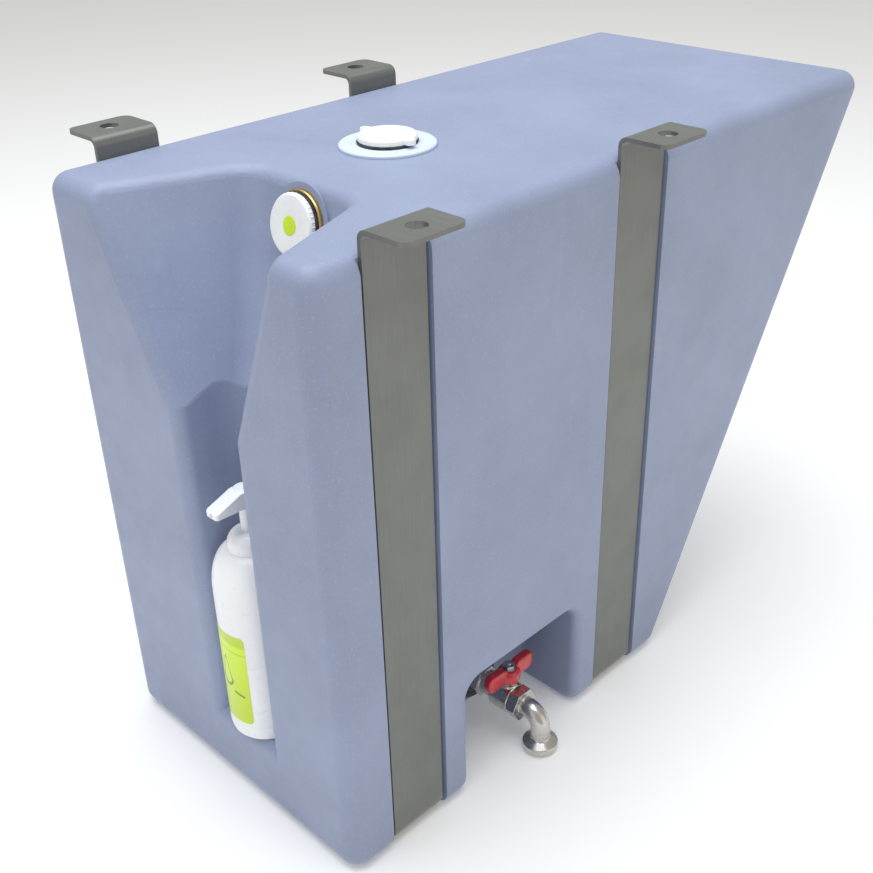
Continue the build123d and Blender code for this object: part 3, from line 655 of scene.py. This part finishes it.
# ---------------------------------------------------------------- operators
class TANK_OT_shell(bpy.types.Operator):
    """Finish the moulded tank and its hanger straps"""

    bl_idname = "tank.shell"
    bl_label = "Tank and Straps"

    def execute(self, context):
        looks = context.scene.tank_looks
        repaint("tank_shell", moulded_tank(looks.tank_color))
        steel = brushed_bar("strap_steel", looks.strap_color)
        for node in ("front_strap", "rear_strap"):
            repaint(node, steel)
        return {"FINISHED"}


class TANK_OT_caps(bpy.types.Operator):
    """Build the neck rings, gaskets and screw caps of both fillers"""

    bl_idname = "tank.caps"
    bl_label = "Filler Caps"

    def execute(self, context):
        looks = context.scene.cap_looks
        white = moulded_white("cap_plastic", looks.cap_color)
        pale = moulded_white("ring_plastic", looks.ring_color, 0.42, 0.00006)
        brass = cast_metal("neck_brass", looks.brass_color, 0.27, 0.00004)
        rubber = seal_rubber("seal_rubber", (0.018, 0.018, 0.02))
        mark = moulded_white("mark_plastic", looks.mark_color, 0.36)
        ring_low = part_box("top_neck_ring")[0]
        cap_low, cap_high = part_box("top_cap")
        gasket_low, gasket_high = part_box("top_cap_gasket")
        lid = Vector(JOINTS["top_cap_turn"]["pos_m"])
        thickness = (gasket_high[2] - gasket_low[2]) / MM
        plug, head = heights("top_cap", lid)
        radius = (cap_high[0] - cap_low[0]) / 2 / MM
        gasket_radius = (gasket_high[0] - gasket_low[0]) / 2 / MM
        lug_reach = (cap_high[1] - cap_low[1]) / 2 / MM
        plug_radius = 15.7
        for side, material, ring_slot in (("top", pale, "pale_plastic"), ("front", brass, "brass")):
            joint = JOINTS[f"{side}_cap_turn"]
            place = placed(joint["pos_m"], joint["axis"])
            flange = 35.0 if side == "top" else 23.5
            depth = 2.5 if side == "top" else 3.0
            neck = (ring_low[2] - lid.z) / MM if side == "top" else -18.0
            groove = 25.6 if side == "top" else 21.8
            ring = turned(f"{side}_neck", place, rounded([
                (16.0, neck), (19.0, neck), (19.0, -depth), (flange, -depth), (flange, -0.8),
                (flange - 0.9, 0), (groove, 0), (groove - 0.4, -0.35), (groove - 1.0, -0.35),
                (groove - 1.4, 0), (16.0, 0),
            ], 0.35), material, 160)
            belongs(ring, "tank", ring_slot, f"{side}_neck_ring")
            seal = turned(f"{side}_seal", place, rounded([
                (plug_radius + 0.1, 0), (gasket_radius, 0), (gasket_radius, thickness),
                (plug_radius + 0.1, thickness),
            ], 0.7), rubber, 128)
            belongs(seal, f"{side}_gasket", "black_rubber", f"{side}_cap_gasket")
            recess = 0.5 if side == "front" else 0.0
            top = [(6.5, head - recess), (6.5, head)] if side == "front" else [(9.0, head), (9.6, head - 0.5)]
            cap = turned(f"{side}_cap_body", place, rounded([
                (0, head - recess), *top, (14.4, head if side == "front" else head - 0.5), (15.0, head),
                (radius - 1.5, head), (radius - 0.35, head - 1.2), (radius - 0.35, thickness + 0.3),
                (radius - 0.7, thickness), (plug_radius, thickness), (plug_radius, plug + 0.8),
                (plug_radius - 0.8, plug), (12.7, plug), (12.7, thickness), (0, thickness),
            ], [0] + [0.2] * len(top) + [0.3] * 11 + [0]), white, 160)
            ribs = repeated("ribs", f"{side}_cap_ribs", place, (thickness + head - 1.2) / 2, white,
                            count=looks.grip_ribs, radius=(radius - 0.55) * MM, rib_width=looks.rib_width,
                            rib_length=(head - thickness - 1.0) * MM)
            thread = repeated("thread", f"{side}_cap_thread", place, plug + 3.2, white, turns=1.6,
                              radius=(plug_radius - 0.7) * MM, length=0.0064, ridge=looks.thread_ridge)
            parts = [cap, ribs, thread]
            if side == "top":
                parts.append(finger_lugs(place, lug_reach, thickness, head, white))
            cap = joined(f"{side}_screw_cap", *parts)
            belongs(cap, f"{side}_cap", "white_plastic", f"{side}_cap")
        place = placed(JOINTS["front_cap_turn"]["pos_m"], JOINTS["front_cap_turn"]["axis"])
        inlay = turned("cap_mark", place, rounded([
            (0, head - 0.5), (6.5, head - 0.5), (6.5, head + 0.15), (6.1, head + 0.3), (0, head + 0.3),
        ], [0, 0, 0.2, 0.2, 0]), mark, 96)
        belongs(inlay, "front_cap", "yellow_green", "front_cap_mark")
        return {"FINISHED"}


def finger_lugs(place, reach, low, high, material):
    """The bar whose two rounded ends stand out past the top cap's rim."""
    half = 4.0
    form = bmesh.new()
    steps = 16
    outline = []
    for end in (1, -1):
        for step in range(steps + 1):
            angle = math.pi * step / steps
            outline.append((end * half * math.cos(angle), end * (reach - half + half * math.sin(angle))))
    layers = []
    for height, inset in ((low + 0.3, 0.5), (low + 0.8, 0.0), (high - 0.9, 0.0), (high - 0.35, 0.25),
                          (high - 0.05, 0.9)):
        grow = 1 - inset / half
        layers.append([
            form.verts.new(place @ (Vector((x * grow, y - math.copysign(inset, y), height)) * MM))
            for x, y in outline
        ])
    skin(form, layers)
    piece = formed("finger_lugs", form, material)
    smooth(piece)
    return piece


class TANK_OT_outlet(bpy.types.Operator):
    """Build the bulkhead fitting, its washer and its locknut"""

    bl_idname = "tank.outlet"
    bl_label = "Outlet Fitting"

    def execute(self, context):
        looks = context.scene.tap_looks
        plastic = moulded_white("fitting_plastic", looks.fitting_color, 0.4, 0.00008)
        rubber = seal_rubber("washer_rubber", (0.02, 0.02, 0.022))
        low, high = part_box("outlet_bulkhead")
        washer_low, washer_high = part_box("outlet_washer")
        nut_low, nut_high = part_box("outlet_locknut")
        centre = Vector(((low[0] + high[0]) / 2, washer_high[1], (low[2] + high[2]) / 2))
        place = placed(centre, (0, -1, 0))
        face = (washer_high[1] - low[1]) / MM
        back = (washer_high[1] - high[1]) / MM
        washer = (washer_high[1] - washer_low[1]) / MM
        radius = (high[0] - low[0]) / 2 / MM
        body = turned("bulkhead", place, rounded([
            (9.8, back), (13.0, back), (13.0, washer), (radius, washer), (radius, face - 1.2),
            (radius - 1.2, face), (radius - 5.0, face), (radius - 5.6, face - 0.6),
            (radius - 7.5, face - 0.6), (radius - 8.1, face), (9.8, face),
        ], 0.4), plastic, 144)
        grips = repeated("ribs", "bulkhead_grips", place, (washer + face) / 2, plastic, count=24,
                         radius=(radius - 0.75) * MM, rib_width=0.0015, rib_length=(face - washer - 1.2) * MM)
        thread = repeated("thread", "bulkhead_thread", place, back + 1.0, plastic, turns=9.0,
                          radius=0.0126, length=0.018, ridge=0.0006)
        belongs(joined("bulkhead_fitting", body, grips, thread), "tank", "dark_plastic", "outlet_bulkhead")
        seal = turned("bulkhead_washer", place, rounded([
            (13.0, 0), (radius, 0), (radius, washer), (13.0, washer),
        ], 0.6), rubber, 128)
        belongs(seal, "tank", "black_rubber", "outlet_washer")
        nut_back, nut_front = ((washer_high[1] - y) / MM for y in (nut_high[1], nut_low[1]))
        locknut = nut("bulkhead_nut", place, 36.0, nut_back, nut_front, 13.0, plastic, 1.0)
        belongs(locknut, "tank", "dark_plastic", "outlet_locknut")
        return {"FINISHED"}


def handle_form(centre, base, top, tip, hub, wing_low, wing_high, half_thickness, material):
    """A cast butterfly handle: a hub with two paddle wings, in millimetres above centre."""
    form = bmesh.new()
    levels = 28
    ring_sides = 20
    for side in (1, -1):
        rings = []
        for level in range(levels + 1):
            t = level / levels
            x = 3.0 + (tip - 3.0) * t
            swell = math.sin(math.pi * min(1.0, 0.30 + 0.70 * t)) ** 0.5 if t < 1 else 0.0
            rise = min(1.0, t / 0.35)
            low = base + 1.6 + (wing_low - base - 1.6) * rise
            high = top - 1.4 + (wing_high - top + 1.4) * math.sin(rise * math.pi / 2)
            end = max(0.0, (t - 0.78) / 0.22)
            close = math.sqrt(max(0.0, 1 - end ** 2.2))
            middle, half = (low + high) / 2, (high - low) / 2 * (0.2 + 0.8 * close)
            thick = half_thickness * (0.35 + 0.65 * close) * (0.94 + 0.06 * swell)
            ring = []
            for i in range(ring_sides):
                a = 2 * math.pi * i / ring_sides
                c, s = math.cos(a), math.sin(a)
                y = thick * math.copysign(abs(c) ** 0.4, c)
                z = middle + half * math.copysign(abs(s) ** 0.35, s)
                ring.append(form.verts.new(centre + Vector((side * x, y, z)) * MM))
            rings.append(ring)
        skin(form, rings)
    wings = formed("handle_wings", form, material)
    core = turned("handle_hub", placed(centre, (0, 0, 1)), rounded([
        (0, base), (hub - 0.8, base), (hub, base + 2.0), (hub, top - 3.0), (hub - 2.4, top), (0, top),
    ], [0, 0.8, 1.0, 1.0, 1.0, 0]), material, 96)
    return joined("handle_cast", core, wings)


class TANK_OT_tap(bpy.types.Operator):
    """Build the ball valve, its butterfly handle and the bent spout"""

    bl_idname = "tank.tap"
    bl_label = "Tap"

    def execute(self, context):
        looks = context.scene.tap_looks
        plated = cast_metal("plated_brass", looks.metal_color, 0.2, 0.00006)
        machined = cast_metal("machined_brass", shade(looks.metal_color, 1.08), 0.16, 0.00002, 0.3)
        zinc = cast_metal("zinc_steel", (0.5, 0.51, 0.53), 0.3, 0.00003, 0.4)
        red = enamel("red_enamel", looks.handle_color)
        step = looks.cast_step / MM
        body = softened("valve_cast", "valve_body", plated, step)
        belongs(body, "tank", "nickel_brass", "valve_body")
        stem = Vector(JOINTS["valve_lever"]["pos_m"])
        upright = placed(stem, (0, 0, 1))
        gland_low, gland_high = heights("gland_nut", stem)
        gland = nut("gland_hex", upright, 13.0, gland_high - 3.0, gland_high, 3.55, machined)
        sleeve = turned("gland_sleeve", upright, rounded([
            (3.55, gland_low), (5.0, gland_low), (5.0, gland_high - 2.6), (3.55, gland_high - 2.6),
        ], 0.2), machined, 72)
        belongs(joined("gland", gland, sleeve), "tank", "nickel_brass", "gland_nut")
        low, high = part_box("valve_handle")
        base, top = (low[2] - stem.z) / MM, (high[2] - stem.z) / MM
        tip, hub = (high[0] - low[0]) / 2 / MM, (high[1] - low[1]) / 2 / MM
        nut_low, nut_high = heights("handle_nut", stem)
        handle = handle_form(stem, base, nut_low, tip, hub, base + 0.4, top, 4.2, red)
        blended(handle, 0.4, 6)
        belongs(handle, "lever", "red_paint", "valve_handle")
        washer = turned("handle_washer", upright, rounded([
            (2.3, nut_low), (5.4, nut_low), (5.4, nut_low + 0.6), (2.3, nut_low + 0.6),
        ], 0.2), zinc, 72)
        hex_nut = nut("handle_hex", upright, 9.0, nut_low + 0.6, nut_high, 2.2, zinc)
        belongs(joined("handle_fixing", hex_nut, washer), "lever", "zinc_steel", "handle_nut")
        stem_low, stem_high = heights("valve_stem", stem)
        rod = turned("stem_rod", upright, rounded([
            (0, stem_low), (1.5, stem_low), (1.5, 7.1), (3.5, 7.1), (3.5, base), (2.3, base),
            (2.3, nut_low), (2.0, nut_low), (2.0, stem_high - 0.5), (1.5, stem_high), (0, stem_high),
        ], [0, 0.1, 0, 0.2, 0.1, 0, 0, 0, 0.2, 0.2, 0]), machined, 64)
        rod_thread = repeated("thread", "stem_thread", upright, nut_low + 0.4, machined, turns=6.0,
                              radius=0.00198, length=(stem_high - nut_low - 1.0) * MM, ridge=0.00022)
        belongs(joined("stem", rod, rod_thread), "lever", "nickel_brass", "valve_stem")
        spout = softened("spout_cast", "spout", plated, step, 5)
        belongs(spout, "tank", "nickel_brass", "spout")
        seats = moulded_white("seat_plastic", (0.82, 0.82, 0.8), 0.45)
        for node in ("valve_seat_back", "valve_seat_front", "stem_packing"):
            repaint(node, seats)
        repaint("valve_ball", machined)
        repaint("spout_gasket", seal_rubber("spout_rubber", (0.02, 0.02, 0.022)))
        return {"FINISHED"}


class TANK_OT_bottle(bpy.types.Operator):
    """Build the soap bottle and its label"""

    bl_idname = "tank.bottle"
    bl_label = "Soap Bottle"

    def execute(self, context):
        looks = context.scene.soap_looks
        white = moulded_white("bottle_plastic", looks.bottle_color, 0.3, 0.00002)
        low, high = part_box("soap_bottle")
        label_low, label_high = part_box("bottle_label")
        centre = Vector((*JOINTS["collar_turn"]["pos_m"][:2], low[2]))
        place = placed(centre, (0, 0, 1))
        radius, wall, neck, shoulder, collar_seat = 30.0, 1.5, 6.0, 32.0, 16.0
        tall = (high[2] - low[2]) / MM
        shelf = tall - neck
        side = shelf - shoulder
        outer, inner = [], []
        for step in range(13):
            t = step / 12 * math.pi / 2
            across = collar_seat + (radius - collar_seat) * math.cos(t)
            outer.append((across, side + shoulder * math.sin(t)))
            inner.append((across - wall, side + (shoulder - wall) * math.sin(t)))
        outline = [
            (0, 1.4), (22.0, 1.4), (24.0, 0.0), (radius - 2.5, 0.0), (radius - 0.7, 1.6), (radius, 5.0),
            (radius, 12.0), (radius - 0.25, 12.6), (radius - 0.25, 13.2), (radius, 13.8),
            *outer, (10.0, shelf), (10.0, tall - 0.4), (9.6, tall), (8.5, tall), (8.5, shelf - wall),
            *reversed(inner), (radius - wall, 6.0), (radius - 4.0, 3.0), (0, 3.0),
        ]
        bottle = turned("bottle_form", place, outline, white, 160)
        thread = repeated("thread", "bottle_thread", place, shelf + 1.2, white, turns=1.5,
                          radius=0.0097, length=0.0036, ridge=0.0005)
        belongs(joined("bottle", bottle, thread), "bottle", "white_plastic", "soap_bottle")
        vinyl = printed_label("label_vinyl", looks.label_color)
        label = label_form(centre, label_low[2] - low[2], label_high[2] - low[2], looks.label_corner, vinyl)
        belongs(label, "bottle", "yellow_green", "bottle_label")
        return {"FINISHED"}


def label_form(centre, low, high, corner, material):
    """A thin label wrapped round the bottle's front, with rounded corners and its own UV map."""
    inside, outside, half_turn = 0.03, 0.0303, math.radians(31)
    rows, columns = 40, 32
    form = bmesh.new()
    layer = form.loops.layers.uv.new("label")
    grids = []
    for radius in (inside, outside):
        grid = []
        for row in range(rows + 1):
            v = (1 - math.cos(math.pi * row / rows)) / 2
            up = low + (high - low) * v
            near_end = min(up - low, high - up)
            inset = max(0.0, corner - near_end)
            cut = corner - math.sqrt(max(0.0, corner ** 2 - inset ** 2))
            reach = half_turn - cut / outside
            grid.append([
                form.verts.new((
                    centre.x - radius * math.cos(reach * (2 * c / columns - 1)),
                    centre.y + radius * math.sin(reach * (2 * c / columns - 1)),
                    centre.z + up,
                ))
                for c in range(columns + 1)
            ])
        grids.append(grid)
    inner, outer = grids

    def face(*corners):
        made = form.faces.new(corners)
        for loop in made.loops:
            point = loop.vert.co
            turn = math.atan2(point.y - centre.y, centre.x - point.x)
            loop[layer].uv = (0.5 + turn / (2 * half_turn), (point.z - centre.z - low) / (high - low))

    for row in range(rows):
        for c in range(columns):
            face(outer[row][c], outer[row + 1][c], outer[row + 1][c + 1], outer[row][c + 1])
            face(inner[row][c], inner[row][c + 1], inner[row + 1][c + 1], inner[row + 1][c])
        for c, flip in ((0, False), (columns, True)):
            edge = (inner[row][c], inner[row + 1][c], outer[row + 1][c], outer[row][c])
            face(*(reversed(edge) if flip else edge))
    for c in range(columns):
        for row, flip in ((0, True), (rows, False)):
            edge = (inner[row][c], inner[row][c + 1], outer[row][c + 1], outer[row][c])
            face(*(reversed(edge) if flip else edge))
    piece = formed("label", form, material)
    smooth(piece, 50)
    return piece


class TANK_OT_pump(bpy.types.Operator):
    """Build the soap pump's collar, head and inner pieces"""

    bl_idname = "tank.pump"
    bl_label = "Soap Pump"

    def execute(self, context):
        looks = context.scene.soap_looks
        white = moulded_white("pump_plastic", looks.bottle_color, 0.24, 0.00001)
        collar_low, collar_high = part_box("pump_collar")
        axis = Vector((*JOINTS["collar_turn"]["pos_m"][:2], collar_low[2]))
        place = placed(axis, (0, 0, 1))
        tall = (collar_high[2] - collar_low[2]) / MM
        dome = []
        for step in range(11):
            t = step / 10 * math.pi / 2
            dome.append((7.5 + 8.35 * math.cos(t), 2.2 + (tall - 2.2) * math.sin(t)))
        collar = turned("collar_form", place, [
            (10.3, 0.0), (15.6, 0.0), (15.95, 0.35), (15.95, 1.7), (15.85, 2.0), *dome,
            (6.6, tall), (6.2, tall - 0.5), (4.6, tall - 0.5), (4.6, 8.7), (10.3, 8.7),
        ], white, 144)
        ribs = repeated("ribs", "collar_ribs", place, 5.0, white, count=48, radius=0.01465,
                        rib_width=0.0012, rib_length=0.0065)
        belongs(joined("collar", collar, ribs), "collar", "white_plastic", "pump_collar")
        head = softened("pump_head_form", "pump_head", white, 0.35, 6)
        belongs(head, "pump_top", "white_plastic", "pump_head")
        stem_low, stem_high = heights("pump_stem", axis)
        stem = turned("pump_rod", place, rounded([
            (1.8, stem_low), (4.5, stem_low), (4.5, stem_high), (1.8, stem_high),
        ], 0.25), white, 96)
        belongs(stem, "pump_top", "white_plastic", "pump_stem")
        repaint("pump_body", white)
        pale = moulded_white("pump_seal", (0.8, 0.8, 0.78), 0.42)
        for node in ("pump_gasket", "pump_piston"):
            repaint(node, pale)
        steel = cast_metal("spring_steel", (0.5, 0.51, 0.53), 0.22, 0.00001, 0.2)
        for node in ("pump_spring", "check_ball"):
            repaint(node, steel)
        repaint("dip_tube", moulded_white("tube_plastic", (0.78, 0.8, 0.8), 0.15))
        return {"FINISHED"}


class TANK_OT_studio(bpy.types.Operator):
    """Set the floor, the soft lights and the camera"""

    bl_idname = "tank.studio"
    bl_label = "Studio"

    def execute(self, context):
        looks = context.scene.studio_looks
        scene = context.scene
        mesh = bpy.data.meshes.new("floor")
        form = bmesh.new()
        bmesh.ops.create_grid(form, x_segments=1, y_segments=1, size=8.0)
        bmesh.ops.translate(form, verts=form.verts, vec=(0, 0, CAD_BOX[0][2] - FLOOR_GAP))
        form.to_mesh(mesh)
        form.free()
        material, tree, shader, coords = new_material("floor_paper")
        grain = noise(tree, coords, 300.0, detail=2.0)
        tint = tinted(tree, grain, shade(looks.floor_color, 0.985), shade(looks.floor_color, 1.01))
        tree.links.new(tint, shader.inputs["Base Color"])
        shader.inputs["Roughness"].default_value = 0.9
        shader.inputs["Emission Color"].default_value = (1.0, 1.0, 1.0, 1.0)
        shader.inputs["Emission Strength"].default_value = 0.12
        mesh_object("floor", mesh, material)
        world = bpy.data.worlds.new("studio")
        world.use_nodes = True
        background = world.node_tree.nodes["Background"]
        background.inputs["Color"].default_value = (1.0, 0.985, 0.95, 1.0)
        background.inputs["Strength"].default_value = looks.ambient
        scene.world = world
        scene.view_settings.view_transform = "Standard"
        for name, spot, size, power, tint in (
            ("overhead", (-0.1, 0.1, 1.9), 2.2, looks.overhead, (0.91, 0.96, 1.0)),
            ("niche_side", (-1.9, -0.2, 0.5), 1.6, looks.niche_side, (1.0, 1.0, 1.0)),
            ("tap_side", (0.5, -2.2, 0.3), 1.6, looks.tap_side, (1.0, 0.91, 0.75)),
        ):
            light = bpy.data.lights.new(name, "AREA")
            light.size = size
            light.energy = power
            light.color = tint
            lamp = bpy.data.objects.new(name, light)
            lamp.location = spot
            aim = Vector((0.0, 0.0, -0.25)) - Vector(spot)
            lamp.rotation_euler = aim.to_track_quat("-Z", "Y").to_euler()
            scene.collection.objects.link(lamp)
        azimuth, elevation, roll = (math.radians(v) for v in (looks.azimuth, looks.elevation, looks.roll))
        back = Vector((math.sin(azimuth) * math.cos(elevation), -math.cos(azimuth) * math.cos(elevation),
                       math.sin(elevation)))
        right = (-back).cross(Vector((0, 0, 1))).normalized()
        up = right.cross(-back)
        target = AIM - up * AIM_DROP
        turned_right = right * math.cos(roll) + up * math.sin(roll)
        turned_up = up * math.cos(roll) - right * math.sin(roll)
        camera_data = bpy.data.cameras.new("camera")
        camera_data.sensor_width = 36.0
        camera_data.lens = looks.lens
        camera = bpy.data.objects.new("camera", camera_data)
        turn = Matrix((turned_right, turned_up, back)).transposed()
        camera.matrix_world = Matrix.Translation(target + back * looks.distance) @ turn.to_4x4()
        scene.collection.objects.link(camera)
        scene.camera = camera
        return {"FINISHED"}


class TANK_PT_panel(bpy.types.Panel):
    """Lists the steps and their settings in the sidebar"""

    bl_idname = "TANK_PT_panel"
    bl_label = "Water Tank"
    bl_space_type = "VIEW_3D"
    bl_region_type = "UI"
    bl_category = "Water Tank"

    def draw(self, context):
        layout = self.layout
        for step, settings in STEPS:
            layout.operator(step.bl_idname)
            box = layout.box()
            group = getattr(context.scene, settings)
            for name in group.__annotations__:
                box.prop(group, name)


SETTINGS = (
    ("tank_looks", TankLooks),
    ("cap_looks", CapLooks),
    ("tap_looks", TapLooks),
    ("soap_looks", SoapLooks),
    ("studio_looks", StudioLooks),
)
STEPS = (
    (TANK_OT_shell, "tank_looks"),
    (TANK_OT_caps, "cap_looks"),
    (TANK_OT_outlet, "tap_looks"),
    (TANK_OT_tap, "tap_looks"),
    (TANK_OT_bottle, "soap_looks"),
    (TANK_OT_pump, "soap_looks"),
    (TANK_OT_studio, "studio_looks"),
)
CLASSES = (*(group for _, group in SETTINGS), *(step for step, _ in STEPS), TANK_PT_panel)


def register():
    for cls in CLASSES:
        bpy.utils.register_class(cls)
    for name, group in SETTINGS:
        setattr(bpy.types.Scene, name, PointerProperty(type=group))


def unregister():
    for name, _ in SETTINGS:
        delattr(bpy.types.Scene, name)
    for cls in reversed(CLASSES):
        bpy.utils.unregister_class(cls)


def main():
    """Registers the add-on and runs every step."""
    register()
    for step, _ in STEPS:
        group, name = step.bl_idname.split(".")
        getattr(getattr(bpy.ops, group), name)()


if __name__ == "__main__":
    main()
